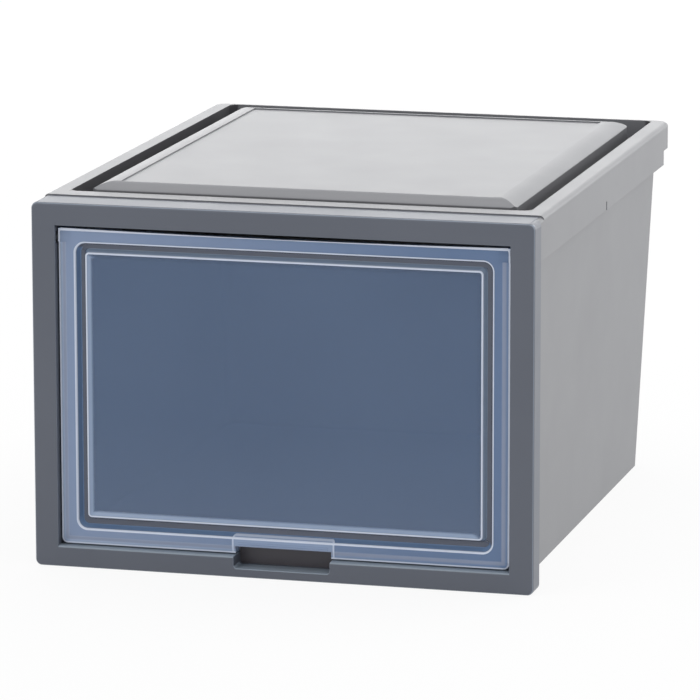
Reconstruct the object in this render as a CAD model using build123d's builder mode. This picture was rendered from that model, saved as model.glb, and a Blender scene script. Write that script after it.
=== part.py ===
from build123d import *
import os
from math import sqrt

# A stackable storage chest whose clear door swings up and slides back under the top.
# Millimetres. The origin is on the floor, under the middle of the chest. +X is to the right
# as seen from the front, +Y runs from the door to the back, and +Z is up.

# Whole chest
width = 400.0
depth = 510.0
clearance = 0.3
front_y = -depth / 2
rear_y = depth / 2

# Front frame: a bezel moulded as a channel that is open to the rear
frame_height = 288.8
frame_depth = 21.0
side_bar = 19.0
top_bar = 17.7
bottom_bar = 16.8
frame_wall = 2.5
frame_corner = 5.0
frame_edge = 2.0
opening_edge = 0.6
sill_edge = 2.2
frame_rib = 1.5
side_rib_pitch = 48.0
side_ribs = 5
end_rib_pitch = 56.0
end_ribs = 6
frame_lap = 11.7
lap_thickness = 2.0
lap_side_inset = 4.0
opening_half = width / 2 - side_bar
opening_low = bottom_bar
opening_high = frame_height - top_bar

# Finger recess in the frame's bottom bar
recess_half = 38.5
recess_floor = 7.3
recess_corner = 2.5
recess_back = 1.5
recess_lip = 1.0

# Tub: walls that taper in towards the floor
tub_wall = 2.0
tub_base_proud = 0.6
side_draft = 11.4
rear_draft = 12.0
shoulder_drop = 32.8
rear_overhang = 24.0
tub_corner = 12.0
floor_top = 16.0
floor_thickness = 2.5
floor_fillet = 4.0
floor_rib = 1.6
floor_rib_height = 5.0
floor_long_ribs = 3
floor_long_rib_pitch = 88.0
floor_cross_ribs = 4
floor_cross_rib_pitch = 92.0
shoulder = frame_height - shoulder_drop
tub_base_half = opening_half + tub_base_proud
tub_rear_low = rear_y - rear_overhang - rear_draft
tub_front = front_y + frame_depth

# Plate round the tub's mouth that closes the back of the frame
plate_thickness = 2.5
plate_inset = 2.7

# Collar round the top of the tub, which the deck sits on
collar_inset = 0.5
collar_height = 12.0
collar_wall = 2.0
collar_rear_step = 15.0
collar_half = width / 2 - collar_inset
collar_rear = rear_y - collar_rear_step
shelf_top = shoulder + collar_wall
deck_low = shoulder + collar_height
nib_behind = 257.5
nib_width = 0.8
nib_proud = 0.4
nib_height = 7.0

# Top deck: one moulding with a rim, a stacking groove and a raised panel
deck_wall = 2.0
rim_step = 1.0
rim_fillet = 3.5
deck_corner = 11.0
ledge = 12.0
rim_side = 14.5
rim_front = 18.0
rim_rear = 5.5
groove_depth = 14.2
groove_corner = 8.0
panel_gap_side = 14.5
panel_gap_front = 11.5
panel_gap_rear = 30.5
panel_rise = 5.0
panel_corner = 5.0
roll_width = 16.0
roll_height = 5.4
roll_edge = 1.0
border_side = 19.5
border_front = 13.5
border_rear = 16.0
border_corner = 2.0
panel_recess = 1.0
deck_rib = 1.5
deck_rib_height = 6.0
deck_long_ribs = 3
deck_long_rib_pitch = 84.0
deck_cross_ribs = 4
deck_cross_rib_pitch = 84.0
rim_height = frame_height + rim_step
rim_half = collar_half - rim_side
rim_front_y = tub_front + ledge + rim_front
rim_rear_y = rear_y - rim_rear
groove_floor = rim_height - groove_depth
deck_under = groove_floor - deck_wall
panel_half = rim_half - panel_gap_side
panel_front_y = rim_front_y + panel_gap_front
panel_rear_y = rim_rear_y - panel_gap_rear
panel_top = rim_height + panel_rise

# Door: a clear moulding with a channel all round its panel
door_side_gap = 1.3
door_bottom_gap = 1.2
door_top_gap = 2.6
door_bow = 1.6
door_setback = 5.5
door_wall = 2.0
door_corner = 4.5
bevel_width = 6.0
bevel_depth = 1.0
bevel_stop = 11.0
return_wall = 1.5
return_depth = 4.0
door_half = opening_half - door_side_gap
door_low = opening_low + door_bottom_gap
door_high = opening_high - door_top_gap

# Steps inwards over the door's border, each at its sides, bottom and top
lip_step = (13.1, 11.9, 11.0)
channel_slope = (2.7, 3.0, 2.2)
strip_step = (3.5, 4.4, 3.5)
ridge_slope = (2.2, 2.4, 2.3)
ridge_flat = (1.0, 1.0, 1.0)
panel_slope = (4.0, 4.0, 4.0)
lip_radius = 8.0
channel_radius = 6.0
strip_radius = 4.0
ridge_radius = 3.0
lip_edge = 0.7
ridge_edge = 0.4
channel_depth = 6.3
ridge_drop = 1.0
panel_drop = 2.7
strip_thickness = 1.5
strip_play = 0.2

# Pull: a hood behind the notch in the door's bottom edge
pull_half = 41.0
pull_wall = 2.5
pull_height = 14.4
pull_top_wall = 1.5
pull_depth = 11.5
notch_height = 5.5
grip_ribs = 2
grip_rib_pitch = 1.7
grip_rib_height = 0.8
grip_rib_proud = 0.5
grip_margin = 2.5

# Pivots, slide shoes and guide rails
door_travel = 230.0
pivot_depth = 10.0
pivot_drop = 10.1
pin_radius = 2.5
pin_fit = 0.05
pin_seat_fit = 0.02
pin_seat = 8.0
pin_edge = 0.5
pin_collar_radius = 3.7
pin_collar_width = 1.8
boss_width = 9.4
boss_height = 9.0
boss_depth = 6.5
shoe_length = 12.0
shoe_height = 8.4
shoe_width = 6.4
shoe_corner = 3.0
shoe_gap = 1.3
rail_lip = 1.5
rail_web = 1.7
rail_inset = 0.5
rail_stop = 2.0
rail_tongue = 2.5
pivot_y = front_y + pivot_depth
pivot_z = opening_high - pivot_drop
slot_low = pivot_z - shoe_height / 2 - clearance
slot_high = pivot_z + shoe_height / 2 + clearance
rail_low = slot_low - rail_lip
rail_high = slot_high + rail_lip
shoe_inner = opening_half + shoe_gap
shoe_outer = shoe_inner + shoe_width
web_inner = shoe_outer + clearance
web_outer = web_inner + rail_web
rail_inner = opening_half + rail_inset
slot_behind = pivot_depth - shoe_length / 2 - clearance
stop_behind = pivot_depth + door_travel + shoe_length / 2 + clearance

# Snap clips that hold the frame on the tub and the deck
clip_width = 12.0
clip_thickness = 1.5
clip_reach = 2.8
clip_hook = 1.0
clip_root = 4.0
clip_inset = 6.0
side_clip_heights = (62.0, 198.0)
end_clip_offset = 110.0

sides = (("left", -1), ("right", 1))

# How near to a plane an edge is looked for
slight = 0.01


def upright(behind):
    """The XZ plane at a distance behind the frame's front face, seen from the front."""
    return Plane(origin=(0, front_y + behind, 0), x_dir=(1, 0, 0), z_dir=(0, -1, 0))


def span(low_x, high_x, low_z, high_z, mode=Mode.ADD):
    """Rectangle between two X values and two Z values."""
    with Locations(((low_x + high_x) / 2, (low_z + high_z) / 2)):
        Rectangle(abs(high_x - low_x), abs(high_z - low_z), mode=mode)


def open_box(half, front, rear, corner):
    """Plan outline with a square front and rounded rear corners."""
    with BuildSketch() as outline:
        with BuildLine():
            Polyline((-half, front), (half, front), (half, rear), (-half, rear), close=True)
        make_face()
        fillet(outline.vertices().group_by(Axis.Y)[-1], corner)
    return outline.sketch


def wall_outline(height, inset, front):
    """Plan outline of the tub's tapered walls at a height, moved inwards by an inset."""
    half = tub_base_half + side_draft * height / shoulder - inset
    rear = tub_rear_low + rear_draft * height / shoulder - inset
    return open_box(half, front, rear, tub_corner - inset)


def collar_outline(inset, front):
    """Plan outline of the collar, moved inwards by an inset."""
    return open_box(collar_half - inset, front, collar_rear - inset, tub_corner - inset)


def deck_outline(inset, front):
    """Plan outline of the deck's skirt, moved inwards by an inset."""
    return open_box(collar_half - inset, front, rear_y - inset, deck_corner - inset)


def rounded_plan(half, front, rear, corner):
    """Rounded rectangle in plan, from its front to its rear."""
    with BuildSketch() as outline:
        with Locations((0, (front + rear) / 2)):
            RectangleRounded(2 * half, rear - front, corner)
    return outline.sketch


def crown(inset, lowered):
    """The raised panel: two rolled sections that cross, clipped to a rounded plan."""
    half = panel_half - inset
    front = panel_front_y + inset
    rear = panel_rear_y - inset
    top = panel_top - lowered
    roll_low = top - roll_height
    sections = (
        (Plane.XZ.offset(-rear), -half, half, rear - front),
        (Plane.YZ.offset(-half), front, rear, 2 * half),
    )
    with BuildPart() as body:
        for plane, low, high, reach in sections:
            with BuildSketch(plane) as section:
                with BuildLine():
                    Line((low + roll_width, top), (high - roll_width, top))
                    TangentArc((high - roll_width, top), (high, roll_low), tangent=(1, 0))
                    Polyline((high, roll_low), (high, deck_under), (low, deck_under), (low, roll_low))
                    TangentArc((low + roll_width, top), (low, roll_low), tangent=(-1, 0))
                make_face()
                corners = section.vertices()
                corners = corners.filter_by_position(Axis.Y, roll_low - slight, roll_low + slight)
                fillet(corners, roll_edge)
            extrude(amount=reach, mode=Mode.INTERSECT if body.solids() else Mode.ADD)
        with BuildSketch(Plane.XY.offset(deck_under)):
            add(rounded_plan(half, front, rear, panel_corner))
        extrude(amount=top - deck_under, mode=Mode.INTERSECT)
    return body.part


def top_edge(x):
    """Height of the door's top edge, which bows down towards its middle."""
    radius = (door_half**2 + door_bow**2) / (2 * door_bow)
    return door_high - door_bow + radius - sqrt(radius**2 - x**2)


def door_outline(side, bottom, top):
    """The door's outline seen from the front, moved in at its sides, bottom and top."""
    half = door_half - side
    low = door_low + bottom
    high = top_edge(half) - top
    with BuildSketch() as outline:
        with BuildLine():
            Polyline((-half, high), (-half, low), (half, low), (half, high))
            ThreePointArc((half, high), (0, top_edge(0) - top), (-half, high))
        make_face()
        fillet(outline.vertices().group_by(Axis.Y)[0], door_corner)
    return outline.sketch


def door_loop(radius, *steps, grow=0):
    """Rounded rectangle on the door, some steps in from its edges."""
    side, bottom, top = (sum(step) - grow for step in zip(*steps))
    low = door_low + bottom
    high = door_high - top
    with BuildSketch() as outline:
        with Locations((0, (low + high) / 2)):
            RectangleRounded(2 * (door_half - side), high - low, radius + grow)
    return outline.sketch


def clips():
    """Each clip's X and Z, its size along X and Z, and the way its hook points."""
    for side in (-1, 1):
        for height in side_clip_heights:
            yield side * (width / 2 - clip_inset), height, clip_thickness, clip_width, (side, 0)
        for height, out in ((clip_inset, -1), (frame_height - clip_inset, 1)):
            yield side * end_clip_offset, height, clip_width, clip_thickness, (0, out)


def clip_slots(low, high):
    """Slots for those of the frame's clips that lie between two heights."""
    for x, z, wide, tall, _ in clips():
        if low < z < high:
            with Locations((x, z)):
                Rectangle(wide + 2 * clearance, tall + 2 * clearance)


# Front frame
frame_hollow = frame_depth - frame_wall
with BuildPart() as frame:
    with BuildSketch(upright(0)):
        with Locations((0, frame_height / 2)):
            RectangleRounded(width, frame_height, frame_corner)
    extrude(amount=-frame_depth)
    fillet(frame.faces().sort_by(Axis.Y)[0].edges(), frame_edge)
    with BuildSketch(upright(0)):
        span(-opening_half, opening_half, opening_low, opening_high)
    extrude(amount=-frame_depth, mode=Mode.SUBTRACT)
    opening_edges = frame.faces().sort_by(Axis.Y)[0].inner_wires()[0].edges().sort_by(Axis.Z)
    fillet(opening_edges[0], sill_edge)
    opening_edges = frame.faces().sort_by(Axis.Y)[0].inner_wires()[0].edges().sort_by(Axis.Z)
    fillet(opening_edges[1:], opening_edge)
    with BuildSketch(upright(frame_wall)):
        with Locations((0, frame_height / 2)):
            RectangleRounded(
                width - 2 * frame_wall, frame_height - 2 * frame_wall, frame_corner - frame_wall
            )
        span(
            -opening_half - frame_wall,
            opening_half + frame_wall,
            opening_low - frame_wall,
            opening_high + frame_wall,
            mode=Mode.SUBTRACT,
        )
    extrude(amount=-frame_hollow, mode=Mode.SUBTRACT)
    # Ribs across the hollow bars
    with BuildSketch(upright(frame_wall)):
        for _, side in sides:
            with Locations((side * (width / 2 - side_bar / 2), frame_height / 2)):
                with GridLocations(1, side_rib_pitch, 1, side_ribs):
                    Rectangle(side_bar - frame_wall, frame_rib)
        for middle, bar in ((bottom_bar / 2, bottom_bar), (frame_height - top_bar / 2, top_bar)):
            with Locations((0, middle)):
                with GridLocations(end_rib_pitch, 1, end_ribs, 1):
                    Rectangle(frame_rib, bar - frame_wall)
    extrude(amount=-frame_hollow)
    # Finger recess, lined, with a back wall that rises into the door's notch
    with BuildSketch(upright(frame_wall)):
        lining = recess_half + frame_wall
        span(-lining, lining, recess_floor - frame_wall, opening_low)
    extrude(amount=-frame_hollow)
    with BuildSketch(upright(0)) as recess:
        span(-recess_half, recess_half, recess_floor, opening_low + recess_floor)
        fillet(recess.vertices().group_by(Axis.Y)[0], recess_corner)
    extrude(amount=-(frame_depth - recess_back), mode=Mode.SUBTRACT)
    lip = frame.edges().filter_by_position(Axis.Y, front_y - slight, front_y + slight)
    lip = lip.filter_by_position(Axis.Z, recess_floor - slight, recess_floor + slight)
    fillet(lip, recess_lip)
    with BuildSketch(upright(frame_depth - recess_back)):
        back_half = recess_half - clearance
        span(-back_half, back_half, recess_floor - frame_wall, door_low + notch_height - clearance)
    extrude(amount=-recess_back)
    # Guide pockets that carry on the rails' channels
    for _, side in sides:
        with BuildSketch(upright(frame_wall)):
            span(side * opening_half, side * web_outer, rail_low, rail_high)
        extrude(amount=-frame_hollow)
        with BuildSketch(upright(slot_behind)):
            span(side * (opening_half - clearance), side * web_inner, slot_low, slot_high)
        extrude(amount=-(frame_depth - slot_behind), mode=Mode.SUBTRACT)
    # Lap that reaches back over the deck's ledge
    with BuildSketch(upright(frame_depth)):
        lap_half = width / 2 - lap_side_inset
        span(-lap_half, lap_half, frame_height - lap_thickness, frame_height)
    extrude(amount=-frame_lap)
    # Snap clips
    for x, z, wide, tall, (out_x, out_z) in clips():
        root_x = x + out_x * (clip_inset - frame_wall / 2) / 2
        root_z = z + out_z * (clip_inset - frame_wall / 2) / 2
        with BuildSketch(upright(frame_depth - clip_root)):
            with Locations((root_x, root_z)):
                Rectangle(
                    wide + abs(out_x) * (clip_inset - frame_wall / 2),
                    tall + abs(out_z) * (clip_inset - frame_wall / 2),
                )
        extrude(amount=-clip_root)
        with BuildSketch(upright(frame_depth)):
            with Locations((x, z)):
                Rectangle(wide, tall)
        extrude(amount=-(plate_thickness + clip_reach))
        with BuildSketch(upright(frame_depth + plate_thickness + clearance)):
            with Locations((x + out_x * clip_hook / 2, z + out_z * clip_hook / 2)):
                Rectangle(wide + abs(out_x) * clip_hook, tall + abs(out_z) * clip_hook)
        extrude(amount=-(clip_reach - clearance))

# Tub
floor_under = floor_top - floor_thickness
floor_middle = (tub_front + tub_rear_low) / 2
plate_half = width / 2 - plate_inset
plate_high = rail_low - clearance
with BuildPart() as tub:
    for height in (0, shoulder):
        with BuildSketch(Plane.XY.offset(height)):
            add(wall_outline(height, 0, tub_front))
    loft()
    for height in (floor_top, shoulder):
        with BuildSketch(Plane.XY.offset(height)):
            add(wall_outline(height, tub_wall, front_y))
    loft(mode=Mode.SUBTRACT)
    floor_edges = tub.edges().filter_by_position(Axis.Z, floor_top - slight, floor_top + slight)
    fillet(floor_edges.filter_by_position(Axis.Y, tub_front + 1, depth), floor_fillet)
    for height in (0, floor_under):
        with BuildSketch(Plane.XY.offset(height)):
            add(wall_outline(height, tub_wall, tub_front + plate_thickness))
    loft(mode=Mode.SUBTRACT)
    with BuildSketch(Plane.XY.offset(floor_under)):
        with Locations((0, floor_middle)):
            with GridLocations(floor_long_rib_pitch, 1, floor_long_ribs, 1):
                Rectangle(floor_rib, tub_rear_low - tub_front - tub_wall)
            with GridLocations(1, floor_cross_rib_pitch, 1, floor_cross_ribs):
                Rectangle(2 * tub_base_half - tub_wall, floor_rib)
    extrude(amount=-floor_rib_height)
    # Plate round the mouth, whose lower edge is the sill
    with BuildSketch(upright(frame_depth)):
        span(-plate_half, plate_half, clearance, plate_high)
        span(-opening_half, opening_half, opening_low, plate_high, mode=Mode.SUBTRACT)
    extrude(amount=-plate_thickness)
    with BuildSketch(upright(frame_depth)):
        clip_slots(0, deck_low)
    extrude(amount=-plate_thickness, mode=Mode.SUBTRACT)
    # Collar: a shelf with an upstanding band
    with BuildSketch(Plane.XY.offset(shoulder)):
        add(collar_outline(0, tub_front))
        add(wall_outline(shoulder, tub_wall, front_y), mode=Mode.SUBTRACT)
    extrude(amount=collar_wall)
    with BuildSketch(Plane.XY.offset(shoulder)):
        add(collar_outline(0, tub_front))
        add(collar_outline(collar_wall, front_y), mode=Mode.SUBTRACT)
    extrude(amount=collar_height)
    # Nib on each side of the collar
    with BuildSketch(Plane.XY.offset(shoulder)):
        for _, side in sides:
            with Locations((side * collar_half, front_y + nib_behind)):
                Rectangle(2 * nib_proud, nib_width)
    extrude(amount=nib_height)

# Top deck
lap_under = frame_height - lap_thickness
crown_outside = crown(0, 0)
crown_inside = crown(deck_wall, deck_wall + panel_recess)
with BuildPart() as deck:
    with BuildSketch(Plane.XY.offset(deck_low)):
        add(deck_outline(0, tub_front))
    extrude(amount=rim_height - deck_low)
    rim_edges = deck.faces().sort_by(Axis.Z)[-1].edges().sort_by(Axis.Y)[1:]
    fillet(rim_edges, rim_fillet)
    # Ledge for the frame's lap
    with BuildSketch(upright(frame_depth)):
        ledge_half = width / 2 - lap_side_inset + clearance
        span(-ledge_half, ledge_half, lap_under, rim_height)
    extrude(amount=-ledge, mode=Mode.SUBTRACT)
    # The rim's ends beside the ledge follow the frame's rounded corners
    with BuildSketch(upright(frame_depth)):
        span(-width, width, deck_low, 2 * rim_height)
        with Locations((0, frame_height / 2)):
            RectangleRounded(width, frame_height, frame_corner, mode=Mode.SUBTRACT)
    extrude(amount=-ledge, mode=Mode.SUBTRACT)
    # Stacking groove with the raised panel inside it
    with BuildSketch(Plane.XY.offset(groove_floor)):
        add(rounded_plan(rim_half, rim_front_y, rim_rear_y, groove_corner))
    extrude(amount=groove_depth, mode=Mode.SUBTRACT)
    add(crown_outside)
    with BuildSketch(Plane.XY.offset(panel_top - panel_recess)):
        add(
            rounded_plan(
                panel_half - border_side,
                panel_front_y + border_front,
                panel_rear_y - border_rear,
                border_corner,
            )
        )
    extrude(amount=panel_recess, mode=Mode.SUBTRACT)
    # Hollow underside: below the groove, inside the rim, behind the lap, under the crown
    with BuildSketch(Plane.XY.offset(deck_low)):
        add(deck_outline(deck_wall, tub_front + deck_wall))
    extrude(amount=deck_under - deck_low, mode=Mode.SUBTRACT)
    hollow_front = tub_front + deck_wall
    hollows = ((hollow_front, lap_under - deck_wall), (hollow_front + ledge, rim_height - deck_wall))
    for hollow_start, hollow_top in hollows:
        with BuildSketch(Plane.XY.offset(deck_under)):
            add(deck_outline(deck_wall, hollow_start))
            groove_lining = rounded_plan(
                rim_half + deck_wall,
                rim_front_y - deck_wall,
                rim_rear_y + deck_wall,
                groove_corner + deck_wall,
            )
            add(groove_lining, mode=Mode.SUBTRACT)
        extrude(amount=hollow_top - deck_under, mode=Mode.SUBTRACT)
    add(crown_inside, mode=Mode.SUBTRACT)
    # Web that closes the overhang behind the collar
    with BuildSketch(Plane.XY.offset(deck_low)):
        add(deck_outline(0, collar_rear - collar_wall))
    extrude(amount=deck_wall)
    # Mouth that the door slides back through
    with BuildSketch(upright(frame_depth)):
        span(-opening_half, opening_half, deck_low, opening_high)
    extrude(amount=-deck_wall, mode=Mode.SUBTRACT)
    with BuildSketch(upright(frame_depth)):
        clip_slots(deck_low, frame_height)
    extrude(amount=-deck_wall, mode=Mode.SUBTRACT)
    # Ribs under the raised panel, which stop short of its rolled edges
    rib_top = panel_top - panel_recess - deck_wall
    rib_middle = (panel_front_y + panel_rear_y) / 2
    with BuildSketch(Plane.XY.offset(rib_top)):
        with Locations((0, rib_middle)):
            with GridLocations(deck_long_rib_pitch, 1, deck_long_ribs, 1):
                Rectangle(deck_rib, panel_rear_y - panel_front_y - roll_width)
            with GridLocations(1, deck_cross_rib_pitch, 1, deck_cross_ribs):
                Rectangle(2 * panel_half - roll_width, deck_rib)
    extrude(amount=-deck_rib_height)

# Guide rails, one each side, that drop into the collar before the deck goes on
rails = {}
for name, side in sides:
    with BuildPart() as rail:
        with BuildSketch(upright(frame_depth)):
            span(side * rail_inner, side * web_outer, rail_low, rail_high)
            span(side * rail_inner, side * web_inner, slot_low, slot_high, mode=Mode.SUBTRACT)
            tongue_end = collar_half - collar_wall - clearance
            span(side * web_inner, side * tongue_end, shelf_top, shelf_top + rail_tongue)
        extrude(amount=-(stop_behind - frame_depth))
        with BuildSketch(upright(stop_behind)):
            span(side * rail_inner, side * web_outer, rail_low, rail_high)
        extrude(amount=-rail_stop)
    rails[name] = rail

# Slide shoes that run in the rails
shoes = {}
for name, side in sides:
    with BuildPart() as shoe:
        with BuildSketch(Plane.YZ.offset(side * shoe_inner)):
            with Locations((pivot_y, pivot_z)):
                RectangleRounded(shoe_length, shoe_height, shoe_corner)
                Circle(pin_radius + pin_fit, mode=Mode.SUBTRACT)
        extrude(amount=side * shoe_width)
    shoes[name] = shoe

# Pivot pins, pressed into the door and free to turn in the shoes
pins = {}
pin_end = shoe_outer - pin_edge
for name, side in sides:
    with BuildPart() as pin:
        with BuildSketch(Plane.YZ.offset(side * (door_half - pin_seat))):
            with Locations((pivot_y, pivot_z)):
                Circle(pin_radius)
        extrude(amount=side * (pin_end - door_half + pin_seat))
        free_end = pin.faces().sort_by(Axis.X)[0 if side < 0 else -1]
        chamfer(free_end.edges(), pin_edge)
        with BuildSketch(Plane.YZ.offset(side * (door_half + clearance))):
            with Locations((pivot_y, pivot_z)):
                Circle(pin_collar_radius)
        extrude(amount=side * pin_collar_width)
    pins[name] = pin

# Door
channel_floor = door_setback + channel_depth
channel_back = channel_floor + door_wall
ridge_front = door_setback + ridge_drop
panel_face = door_setback + panel_drop
flange_back = door_setback + door_wall
notch_top = door_low + notch_height
with BuildPart() as door:
    # Flange, bevelled at its sides and bottom except round the pivots
    with BuildSketch(upright(door_setback + bevel_depth)):
        add(door_outline(0, 0, 0))
    extrude(amount=-(door_wall - bevel_depth))
    for behind, inset in ((door_setback, bevel_width), (door_setback + bevel_depth, 0)):
        with BuildSketch(upright(behind)):
            add(door_outline(inset, inset, 0))
    loft()
    with BuildSketch(upright(door_setback)):
        for _, side in sides:
            inner = door_half - bevel_width
            with BuildLine():
                Polyline(
                    (side * inner, door_high - bevel_stop),
                    (side * door_half, door_high - bevel_stop),
                    (side * door_half, top_edge(door_half)),
                    (side * inner, top_edge(inner)),
                    close=True,
                )
            make_face()
    extrude(amount=-bevel_depth)
    # Return rib round the outer edge
    with BuildSketch(upright(flange_back)):
        add(door_outline(0, 0, 0))
        add(door_outline(return_wall, return_wall, return_wall), mode=Mode.SUBTRACT)
    extrude(amount=-return_depth)
    # Pivot bosses
    with BuildSketch(upright(flange_back)):
        for _, side in sides:
            span(
                side * (door_half - boss_width),
                side * door_half,
                pivot_z - boss_height / 2,
                pivot_z + boss_height / 2,
            )
    extrude(amount=-boss_depth)
    # Pull hood behind the notch in the bottom edge
    with BuildSketch(upright(flange_back)):
        span(-pull_half, pull_half, door_low, door_low + pull_height)
        hood_half = pull_half - pull_wall
        span(-hood_half, hood_half, door_low, door_low + pull_height - pull_top_wall, mode=Mode.SUBTRACT)
    extrude(amount=-(pull_depth - door_wall))
    with BuildSketch(upright(door_setback + pull_depth - pull_top_wall)):
        span(-pull_half, pull_half, notch_top, door_low + pull_height)
    extrude(amount=-pull_top_wall)
    with BuildSketch(upright(door_setback)):
        span(-hood_half, hood_half, door_low - clearance, notch_top)
    extrude(amount=-(door_wall + return_depth), mode=Mode.SUBTRACT)
    with BuildSketch(upright(door_setback - grip_rib_proud)):
        rib_half = hood_half - grip_margin
        for rib in range(grip_ribs):
            rib_low = notch_top + grip_rib_height + rib * grip_rib_pitch
            span(-rib_half, rib_half, rib_low, rib_low + grip_rib_height)
    extrude(amount=-grip_rib_proud)
    # Channel: its body, then the hollow that runs across the panel
    for behind, radius, steps in (
        (ridge_front, lip_radius, (lip_step,)),
        (channel_back, channel_radius, (lip_step, channel_slope)),
    ):
        with BuildSketch(upright(behind)):
            add(door_loop(radius, *steps, grow=door_wall))
    loft()
    for behind, radius, steps in (
        (door_setback, lip_radius, (lip_step,)),
        (channel_floor, channel_radius, (lip_step, channel_slope)),
    ):
        with BuildSketch(upright(behind)):
            add(door_loop(radius, *steps))
    loft(mode=Mode.SUBTRACT)
    # Tray inside the channel, with its ridge, the panel's face and the panel's back
    to_strip = (lip_step, channel_slope, strip_step)
    to_ridge = (*to_strip, ridge_slope)
    for behind, radius, steps in (
        (channel_floor, strip_radius, to_strip),
        (ridge_front, ridge_radius, to_ridge),
    ):
        with BuildSketch(upright(behind)):
            add(door_loop(radius, *steps))
    loft()
    for behind, steps in (
        (ridge_front, (*to_ridge, ridge_flat)),
        (panel_face, (*to_ridge, ridge_flat, panel_slope)),
    ):
        with BuildSketch(upright(behind)):
            add(door_loop(ridge_radius, *steps))
    loft(mode=Mode.SUBTRACT)
    for behind, radius, steps in (
        (panel_face + door_wall, ridge_radius, to_ridge),
        (channel_back, strip_radius, to_strip),
    ):
        with BuildSketch(upright(behind)):
            add(door_loop(radius, *steps, grow=-door_wall))
    loft(mode=Mode.SUBTRACT)
    # Eased edges of the channel's lip and of the ridge
    for behind, loop, edge in (
        (door_setback, door_loop(lip_radius, lip_step), lip_edge),
        (ridge_front, door_loop(ridge_radius, *to_ridge), ridge_edge),
    ):
        box = loop.bounding_box()
        level = front_y + behind
        rim = door.edges().filter_by_position(Axis.Y, level - slight, level + slight)
        rim = rim.filter_by_position(Axis.X, box.min.X - slight, box.max.X + slight)
        rim = rim.filter_by_position(Axis.Z, box.min.Y - slight, box.max.Y + slight)
        fillet(rim, edge)
    # Seats for the pins
    for _, side in sides:
        with BuildSketch(Plane.YZ.offset(side * (door_half - pin_seat))):
            with Locations((pivot_y, pivot_z)):
                Circle(pin_radius + pin_seat_fit)
        extrude(amount=side * (pin_seat + clearance), mode=Mode.SUBTRACT)

# Strip that fills in behind the channel's floor
with BuildPart() as strip:
    with BuildSketch(upright(channel_back)):
        add(door_loop(channel_radius, lip_step, channel_slope, grow=-strip_play))
        add(door_loop(strip_radius, *to_strip, grow=strip_play), mode=Mode.SUBTRACT)
    extrude(amount=-strip_thickness)

pieces = {
    "front_frame": frame,
    "tub": tub,
    "top_deck": deck,
    "door_panel": door,
    "door_strip": strip,
}
for name, _ in sides:
    pieces[f"{name}_guide_rail"] = rails[name]
    pieces[f"{name}_slide_shoe"] = shoes[name]
    pieces[f"{name}_pivot_pin"] = pins[name]

os.makedirs("parts", exist_ok=True)
for name, piece in pieces.items():
    piece.part.label = name
    export_step(piece.part, f"parts/{name}.step")
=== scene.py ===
import bpy
from mathutils import Matrix, Vector

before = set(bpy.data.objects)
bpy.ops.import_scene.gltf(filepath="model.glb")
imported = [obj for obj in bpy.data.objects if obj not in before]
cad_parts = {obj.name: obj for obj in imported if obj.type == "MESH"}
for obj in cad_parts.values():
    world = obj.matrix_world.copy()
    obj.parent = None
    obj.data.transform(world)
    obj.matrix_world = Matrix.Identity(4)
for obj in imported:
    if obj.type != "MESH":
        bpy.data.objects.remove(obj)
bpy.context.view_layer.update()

# Storage chest with a clear door. Metres, in the frame of the CAD model: the origin is on the
# floor under the middle of the chest, +Y runs from the door to the back.

# Outlines on the door, seen from the front: half width, bottom, top and corner radius
rim_outline = (0.1797, 0.0180, 0.2690, 0.0045)
lip_outline = (0.1666, 0.0299, 0.2575, 0.0080)
ridge_outline = (0.1582, 0.0397, 0.2495, 0.0030)
pull_outline = (0.0410, 0.0100, 0.0324, 0.0026)

# Bands along an outline, as distances outside it; negative is inside
bevel_in_rim = -0.00605
crease_in_rim = (-0.0060, -0.0032)
flange_past_lip = 0.0001
channel_in_lip = (-0.0092, -0.0008)
bright_in_lip = (-0.0036, -0.0006)
dull_in_lip = (-0.0058, -0.0004)
slope_past_ridge = (0.0004, 0.0026)
slope_in_ridge = (-0.0042, -0.0008)
panel_in_ridge = -0.00335
face_in_pull = -0.0005

# Painted highlight lines where the edges catch the light: the distance outside an outline, and
# the width
lip_line = (0.0, 0.0010)
rim_line = (-0.0005, 0.0010)
ridge_line = (-0.0003, 0.0010)
pull_line = (-0.0005, 0.0009)
top_line_z = (0.2664, 0.2680)

# Limits on the door: the front of its border, the top of its bevel and of the pull's line,
# and the lighter foot of its panel
border_y = -0.2474
bevel_top_z = 0.2574
pull_line_top_z = 0.0332
panel_foot_z = (0.035, 0.12)
border_reach = 0.17

# Groove in the top, between the rim and the raised panel, darkened with painted shade: half
# width, front and rear
groove_outer = (0.1853, -0.2045, 0.2492)
groove_inner = (0.1712, -0.1930, 0.2195)
groove_shade_top_z = 0.2934

# Inside of the tub, given painted light as if lit from the mouth: its half width and top, and the
# middle and half length of the fading painted light
inside_half = 0.17945
inside_top_z = 0.2580
fading_y = -0.1100
fading_half = 0.1300

# Frame, where shade, highlights and a reflection are painted: the limit of its front edges, the
# sill under the door, and the finger recess
front_edge_y = -0.2500
sill_z = 0.0174
recess_back_y = -0.2390
recess_top_z = 0.0220


def linear(r, g, b):
    """sRGB from 0 to 255 as linear colour."""
    parts = []
    for value in (r, g, b):
        c = value / 255
        parts.append(c / 12.92 if c <= 0.04045 else ((c + 0.055) / 1.055) ** 2.4)
    return (*parts, 1.0)


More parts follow.
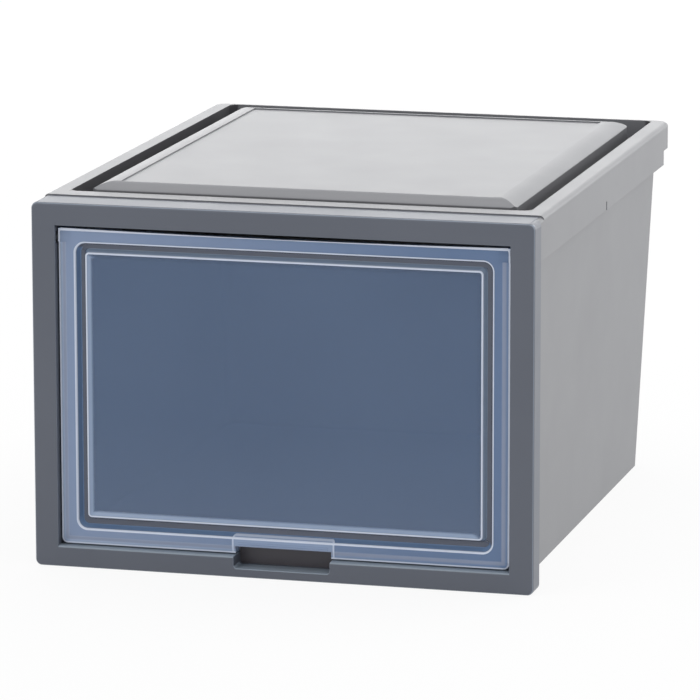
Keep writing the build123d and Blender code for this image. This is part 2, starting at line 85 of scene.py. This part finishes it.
class Nodes:
    """The node tree of a material or world, with short calls to add and join nodes."""

    def __init__(self, owner):
        owner.use_nodes = True
        self.owner = owner
        self.tree = owner.node_tree

    def named(self, name):
        return self.tree.nodes[name]

    def add(self, kind, **values):
        node = self.tree.nodes.new(kind)
        for key, value in values.items():
            if key in node.inputs:
                node.inputs[key].default_value = value
            else:
                setattr(node, key, value)
        return node

    def join(self, source, target):
        self.tree.links.new(source, target)

    def fill(self, socket, value):
        """Join the value to the socket, or set it there if it is a number or a colour."""
        if hasattr(value, "default_value"):
            self.join(value, socket)
        else:
            socket.default_value = value

    def axes(self, kind):
        """X, Y and Z of the place ("Object") or of the way the surface faces ("Normal")."""
        parts = self.add("ShaderNodeSeparateXYZ")
        self.join(self.add("ShaderNodeTexCoord").outputs[kind], parts.inputs["Vector"])
        return [parts.outputs[key] for key in "XYZ"]

    def noise(self, scale, detail):
        noise = self.add("ShaderNodeTexNoise", Scale=scale, Detail=detail)
        self.join(self.add("ShaderNodeTexCoord").outputs["Object"], noise.inputs["Vector"])
        return noise.outputs["Fac"]

    def ramp(self, source, low, high, start, end, **settings):
        """From low to high as the source goes from start to end."""
        node = self.add("ShaderNodeMapRange", **settings)
        limits = {"From Min": start, "From Max": end, "To Min": low, "To Max": high}
        for key, value in limits.items():
            node.inputs[key].default_value = value
        self.join(source, node.inputs["Value"])
        return node.outputs["Result"]

    def colours(self, source, first, last, start, end):
        """From the first to the last colour as the source goes from start to end."""
        node = self.add("ShaderNodeValToRGB")
        stops = zip(node.color_ramp.elements, (start, end), (first, last))
        for element, position, colour in stops:
            element.position = position
            element.color = colour
        self.join(source, node.inputs["Fac"])
        return node.outputs["Color"]

    def math(self, operation, *values):
        node = self.add("ShaderNodeMath", operation=operation)
        for socket, value in zip(node.inputs, values):
            self.fill(socket, value)
        return node.outputs[0]

    def product(self, total, *others):
        for value in others:
            total = self.math("MULTIPLY", total, value)
        return total

    def highest(self, total, *others):
        for value in others:
            total = self.math("MAXIMUM", total, value)
        return total

    def no(self, mask):
        return self.math("SUBTRACT", 1.0, mask)

    def above(self, value, edge, soft):
        """1 above the edge and 0 below it, smooth for the soft width on each side."""
        smooth = {"interpolation_type": "SMOOTHSTEP"}
        return self.ramp(value, 0.0, 1.0, edge - soft, edge + soft, **smooth)

    def below(self, value, edge, soft):
        return self.no(self.above(value, edge, soft))

    def between(self, value, band, soft):
        low, high = band
        return self.product(self.above(value, low, soft), self.below(value, high, soft))

    def mix(self, factor, under, over):
        """Over where the factor is 1, for colours or for numbers."""
        if isinstance(over, float):
            kind, first, last, result = "FLOAT", 2, 3, 0
        else:
            kind, first, last, result = "RGBA", 6, 7, 2
        node = self.add("ShaderNodeMix", data_type=kind)
        self.join(factor, node.inputs[0])
        self.fill(node.inputs[first], under)
        self.fill(node.inputs[last], over)
        return node.outputs[result]

    def bump(self, source, strength, distance, under=None):
        node = self.add("ShaderNodeBump", Strength=strength, Distance=distance)
        self.join(source, node.inputs["Height"])
        if under is not None:
            self.join(under, node.inputs["Normal"])
        return node.outputs["Normal"]

    def seen_directly(self):
        """1 for camera, glossy and transmission rays."""
        path = self.add("ShaderNodeLightPath")
        kinds = ("Camera", "Glossy", "Transmission")
        return self.highest(*(path.outputs[f"Is {kind} Ray"] for kind in kinds))


def moulded(name, dark, light, rough, grain, layers=None):
    """Opaque moulded plastic: a faint mottle, a spark-eroded grain and slow waves in the wall."""
    n = Nodes(bpy.data.materials.new(name))
    shader = n.named("Principled BSDF")
    colour = n.colours(n.noise(scale=9.0, detail=3.0), dark, light, start=0.3, end=0.7)
    for mask, tint, share in layers(n) if layers else ():
        colour = n.mix(n.product(mask, share), colour, tint)
    n.join(colour, shader.inputs["Base Color"])
    patches = n.ramp(n.noise(scale=23.0, detail=4.0), *rough, start=0.25, end=0.75)
    n.join(patches, shader.inputs["Roughness"])
    waves = n.bump(n.noise(scale=7.0, detail=1.0), strength=0.025, distance=0.0012)
    grains = n.noise(scale=grain, detail=3.0)
    n.join(n.bump(grains, strength=0.08, distance=0.00012, under=waves), shader.inputs["Normal"])
    return n.owner


def groove(n):
    """Painted shade in the groove round the raised panel on the top."""
    x, y, z = n.axes("Object")
    aside = n.math("ABSOLUTE", x)

    def outside(half, front, rear):
        return n.highest(
            n.math("SUBTRACT", aside, half),
            n.math("SUBTRACT", y, rear),
            n.math("SUBTRACT", front, y),
        )

    # Painted shade: the groove's colour is mixed most of the way to a near-black grey, partway up
    # the raised panel's roll
    mask = n.product(
        n.below(outside(*groove_outer), 0.0, soft=0.0003),
        n.above(outside(*groove_inner), 0.0, soft=0.0010),
        n.below(z, groove_shade_top_z, soft=0.0004),
    )
    return ((mask, linear(48, 46, 50), 0.8),)


def mouth_painted_light(n):
    """Painted light on the inside near the door, where the light comes in."""
    x, y, z = n.axes("Object")
    # Painted light: a pale tint that fades from the door towards the back
    mask = n.product(
        n.below(n.math("ABSOLUTE", x), inside_half, soft=0.00025),
        n.below(z, inside_top_z, soft=0.0020),
        n.below(y, fading_y, soft=fading_half),
    )
    return ((mask, linear(214, 216, 222), 0.75),)


def painted_frame_shade_and_highlights(n):
    """Painted shade on the back of the finger recess, painted highlights on the rounded front
    edges, and a painted reflection on the sill under the door.
    """
    _, y, z = n.axes("Object")
    facing = n.axes("Normal")
    forward = n.math("MULTIPLY", facing[1], -1.0)
    squareness = n.highest(*(n.math("ABSOLUTE", axis) for axis in facing))
    # Painted shade on the back of the finger recess
    recess_painted_shade = n.product(
        n.above(y, recess_back_y, soft=0.0010),
        n.below(z, recess_top_z, soft=0.0020),
        n.above(forward, 0.65, soft=0.15),
    )
    # Painted highlight along the rounded front edges
    edge = n.product(
        n.below(squareness, 0.82, soft=0.08),
        n.below(y, front_edge_y, soft=0.0005),
    )
    # Painted reflection on the sill under the door
    sill = n.product(
        n.below(z, sill_z, soft=0.0002),
        n.above(facing[2], 0.375, soft=0.125),
        n.below(y, recess_back_y, soft=0.0005),
    )
    return (
        (recess_painted_shade, linear(66, 60, 64), 0.8),
        (edge, linear(136, 146, 160), 0.8),
        (sill, linear(140, 152, 164), 0.9),
    )


def clear_door():
    """Blue-grey clear plastic, hazy in its panel, with painted highlights along its eased edges.

    Each band of its border has its own colour and its own cover, which is its alpha. Its border
    and bevel carry painted light, lighter on the left.
    """
    n = Nodes(bpy.data.materials.new("clear_plastic"))
    shader = n.named("Principled BSDF")
    x, y, z = n.axes("Object")
    aside = n.math("ABSOLUTE", x)

    def outside(half, low, high, radius):
        """Distance outside a rounded outline; negative inside."""
        apart = n.math("ABSOLUTE", n.math("SUBTRACT", z, (low + high) / 2))
        past_side = n.math("SUBTRACT", aside, half - radius)
        past_end = n.math("SUBTRACT", apart, (high - low) / 2 - radius)
        squares = []
        for past in (past_side, past_end):
            beyond = n.math("MAXIMUM", past, 0.0)
            squares.append(n.product(beyond, beyond))
        corner = n.math("SQRT", n.math("ADD", *squares))
        within = n.math("MINIMUM", n.highest(past_side, past_end), 0.0)
        return n.math("SUBTRACT", n.math("ADD", corner, within), radius)

    def line(distance, at, width):
        """1 along the line, fading out between half its width and its width."""
        off = n.math("ABSOLUTE", n.math("SUBTRACT", distance, at))
        return n.below(off, width * 0.75, soft=width * 0.25)

    rim = outside(*rim_outline)
    lip = outside(*lip_outline)
    ridge = outside(*ridge_outline)
    pull = outside(*pull_outline)

    # Bottom and left against top and right, split on the diagonal of the ridge
    half, low, high, _ = ridge_outline
    leftwards = n.math("MULTIPLY", x, -1 / half)
    upwards = n.math("MULTIPLY", n.math("SUBTRACT", z, (low + high) / 2), 2 / (high - low))
    lower_left = n.above(n.math("SUBTRACT", leftwards, upwards), 0.0, soft=0.02)
    upper_right = n.no(lower_left)

    front = n.below(y, border_y, soft=0.0002)
    beside_bevel = n.product(n.below(z, bevel_top_z, soft=0.0002), front)
    # Painted light on the bevel, with a tone of its own along the crease
    bevel = n.product(n.above(rim, bevel_in_rim, soft=0.00025), beside_bevel)
    crease = n.product(n.between(rim, crease_in_rim, soft=0.0008), beside_bevel)
    flange = n.above(lip, flange_past_lip, soft=0.0003)
    channel = n.product(n.between(lip, channel_in_lip, soft=0.0004), n.no(flange))
    bright = n.product(channel, n.between(lip, bright_in_lip, soft=0.0004))
    dull_sides = n.highest(
        n.product(lower_left, n.no(bright)),
        n.product(upper_right, n.between(lip, dull_in_lip, soft=0.0004)),
    )
    dull = n.product(channel, dull_sides)
    # Painted light on the ridge's slopes: a mid-tone outside it on the upper right, pale inside
    # it on the lower left
    outer_slope = n.product(n.between(ridge, slope_past_ridge, soft=0.0004), upper_right)
    inner_slope = n.product(n.between(ridge, slope_in_ridge, soft=0.0010), lower_left)
    panel = n.below(ridge, panel_in_ridge, soft=0.00215)
    pull_face = n.below(pull, face_in_pull, soft=0.0003)
    # Painted highlight lines along the pull, the lip, the rim, the top and the ridge
    pull_edge = n.product(line(pull, *pull_line), n.below(z, pull_line_top_z, soft=0.0002))
    front_lines = n.highest(
        line(lip, *lip_line),
        line(rim, *rim_line),
        n.between(z, top_line_z, soft=0.0002),
    )
    lines = n.highest(n.product(front, front_lines), line(ridge, *ridge_line))

    mottle = n.noise(scale=6.0, detail=2.0)
    haze = n.colours(mottle, linear(98, 120, 154), linear(104, 126, 160), start=0.3, end=0.7)
    # Painted light: the panel lighter towards its foot
    haze = n.mix(n.ramp(z, 0.7, 0.0, *panel_foot_z), haze, linear(118, 138, 170))
    # Painted light across the border and the bevel: lighter on the left than on the right
    across = n.ramp(x, 0.0, 1.0, start=-border_reach, end=border_reach)
    border = n.colours(across, linear(154, 174, 208), linear(118, 144, 184), start=0.1, end=0.9)
    rolled = n.colours(across, linear(176, 194, 222), linear(128, 152, 190), start=0.1, end=0.9)
    layers = (
        (bright, linear(124, 154, 194), 0.6),
        (dull, linear(116, 122, 138), 0.66),
        (outer_slope, linear(148, 166, 188), 0.74),
        (inner_slope, linear(162, 182, 212), 0.72),
        (pull_face, linear(160, 180, 212), 0.72),
        (bevel, rolled, 0.78),
        (crease, linear(160, 172, 198), 0.72),
        (pull_edge, linear(205, 216, 236), 0.85),
        (lines, linear(222, 230, 246), 0.92),
    )
    colour = n.mix(flange, haze, border)
    cover = n.mix(flange, n.mix(panel, 0.44, 0.52), 0.62)
    for mask, layer_colour, layer_cover in layers:
        colour = n.mix(mask, colour, layer_colour)
        cover = n.mix(mask, cover, layer_cover)
    n.join(colour, shader.inputs["Base Color"])
    n.join(cover, shader.inputs["Alpha"])
    patches = n.ramp(n.noise(scale=14.0, detail=3.0), 0.12, 0.2, start=0.3, end=0.7)
    n.join(patches, shader.inputs["Roughness"])
    waves = n.bump(n.noise(scale=5.0, detail=1.0), strength=0.02, distance=0.0004)
    n.join(waves, shader.inputs["Normal"])
    return n.owner


greys = (linear(118, 119, 123), linear(122, 123, 127))
slates = (linear(88, 93, 104), linear(92, 97, 108))
darks = (linear(84, 84, 88), linear(92, 92, 96))
acetals = (linear(84, 88, 97), linear(92, 96, 104))
body = moulded("body_plastic", *greys, rough=(0.39, 0.42), grain=1200.0, layers=mouth_painted_light)
deck = moulded("deck_plastic", *greys, rough=(0.39, 0.42), grain=1200.0, layers=groove)
slate = moulded("frame_plastic", *slates, rough=(0.36, 0.42), grain=1300.0, layers=painted_frame_shade_and_highlights)
dark = moulded("strip_plastic", *darks, rough=(0.42, 0.5), grain=1000.0)
acetal = moulded("slide_plastic", *acetals, rough=(0.26, 0.34), grain=1000.0)

finishes = {
    "tub": body,
    "top_deck": deck,
    "front_frame": slate,
    "door_panel": clear_door(),
    "door_strip": dark,
}
for side in ("left", "right"):
    finishes[f"{side}_guide_rail"] = slate
    finishes[f"{side}_slide_shoe"] = acetal
    finishes[f"{side}_pivot_pin"] = acetal

edge_rounds = {"tub": 0.0002, "front_frame": 0.0004, "door_panel": 0.00035}
for name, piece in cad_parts.items():
    piece.data.materials.clear()
    piece.data.materials.append(finishes[name])
    if name in edge_rounds:
        weld = piece.modifiers.new("weld", "WELD")
        weld.merge_threshold = 1e-6
        rounded = piece.modifiers.new("edges", "BEVEL")
        rounded.width = edge_rounds[name]
        rounded.segments = 2
        rounded.limit_method = "ANGLE"
        rounded.angle_limit = 0.6
        rounded.harden_normals = True

# Floor: pale paper that keeps its shadow, mixed with plain white where it is seen
scene = bpy.context.scene
reach = 12.0
floor_corners = [(-reach, -reach, 0), (reach, -reach, 0), (reach, reach, 0), (-reach, reach, 0)]
floor_mesh = bpy.data.meshes.new("floor")
floor_mesh.from_pydata(floor_corners, [], [(0, 1, 2, 3)])
floor = bpy.data.objects.new("floor", floor_mesh)
scene.collection.objects.link(floor)

white_share = 0.9
paper = Nodes(bpy.data.materials.new("floor_paper"))
shader = paper.named("Principled BSDF")
shader.inputs["Base Color"].default_value = (0.82, 0.82, 0.82, 1)
shader.inputs["Roughness"].default_value = 0.9
glow = paper.add("ShaderNodeEmission", Color=(1, 1, 1, 1))
blend = paper.add("ShaderNodeMixShader")
paper.join(paper.product(paper.seen_directly(), white_share), blend.inputs["Fac"])
paper.join(shader.outputs["BSDF"], blend.inputs[1])
paper.join(glow.outputs["Emission"], blend.inputs[2])
paper.join(blend.outputs["Shader"], paper.named("Material Output").inputs["Surface"])
floor_mesh.materials.append(paper.owner)

# World: soft light all round, white where it is seen
light_level = 0.7
seen_level = 1.0
sky = Nodes(bpy.data.worlds.new("studio"))
scene.world = sky.owner
background = sky.named("Background")
background.inputs["Color"].default_value = (1, 1, 1, 1)
strength = sky.ramp(sky.seen_directly(), light_level, seen_level, start=0.0, end=1.0)
sky.join(strength, background.inputs["Strength"])


def softbox(name, at, towards, size, power):
    lamp = bpy.data.lights.new(name, "AREA")
    lamp.shape = "RECTANGLE"
    lamp.size, lamp.size_y = size
    lamp.energy = power
    piece = bpy.data.objects.new(name, lamp)
    scene.collection.objects.link(piece)
    piece.location = at
    piece.rotation_mode = "QUATERNION"
    piece.rotation_quaternion = (Vector(towards) - Vector(at)).to_track_quat("-Z", "Y")
    piece.visible_camera = False


softbox("over", at=(0.0, 0.2, 2.6), towards=(0, 0, 0.2), size=(2.2, 2.2), power=24)
softbox("low_behind", at=(-1.0, 3.2, 0.9), towards=(0, 0.1, 0.25), size=(3.2, 1.2), power=23.5)
softbox("right_behind", at=(2.4, 2.2, 0.8), towards=(0.1, 0, 0.15), size=(3.2, 2.6), power=62)
softbox("front_left", at=(-1.8, -2.6, 1.6), towards=(0, -0.2, 0.15), size=(1.6, 1.6), power=14)

# Camera, at the photograph's viewing angle
camera_place = Vector((1.0777, -4.0718, 0.98799))
right = Vector((0.96603, 0.25841, -0.00153)).normalized()
down = Vector((0.05002, -0.19280, -0.97996))
down = (down - down.dot(right) * right).normalized()
forward = right.cross(down)
turn = Matrix((right, -down, -forward)).transposed().to_4x4()
lens = bpy.data.cameras.new("camera")
lens.sensor_width = 36.0
lens.lens = 271.19
lens.clip_start = 0.05
lens.clip_end = 100
camera = bpy.data.objects.new("camera", lens)
scene.collection.objects.link(camera)
camera.matrix_world = Matrix.Translation(camera_place) @ turn
scene.camera = camera

scene.view_settings.view_transform = "Standard"
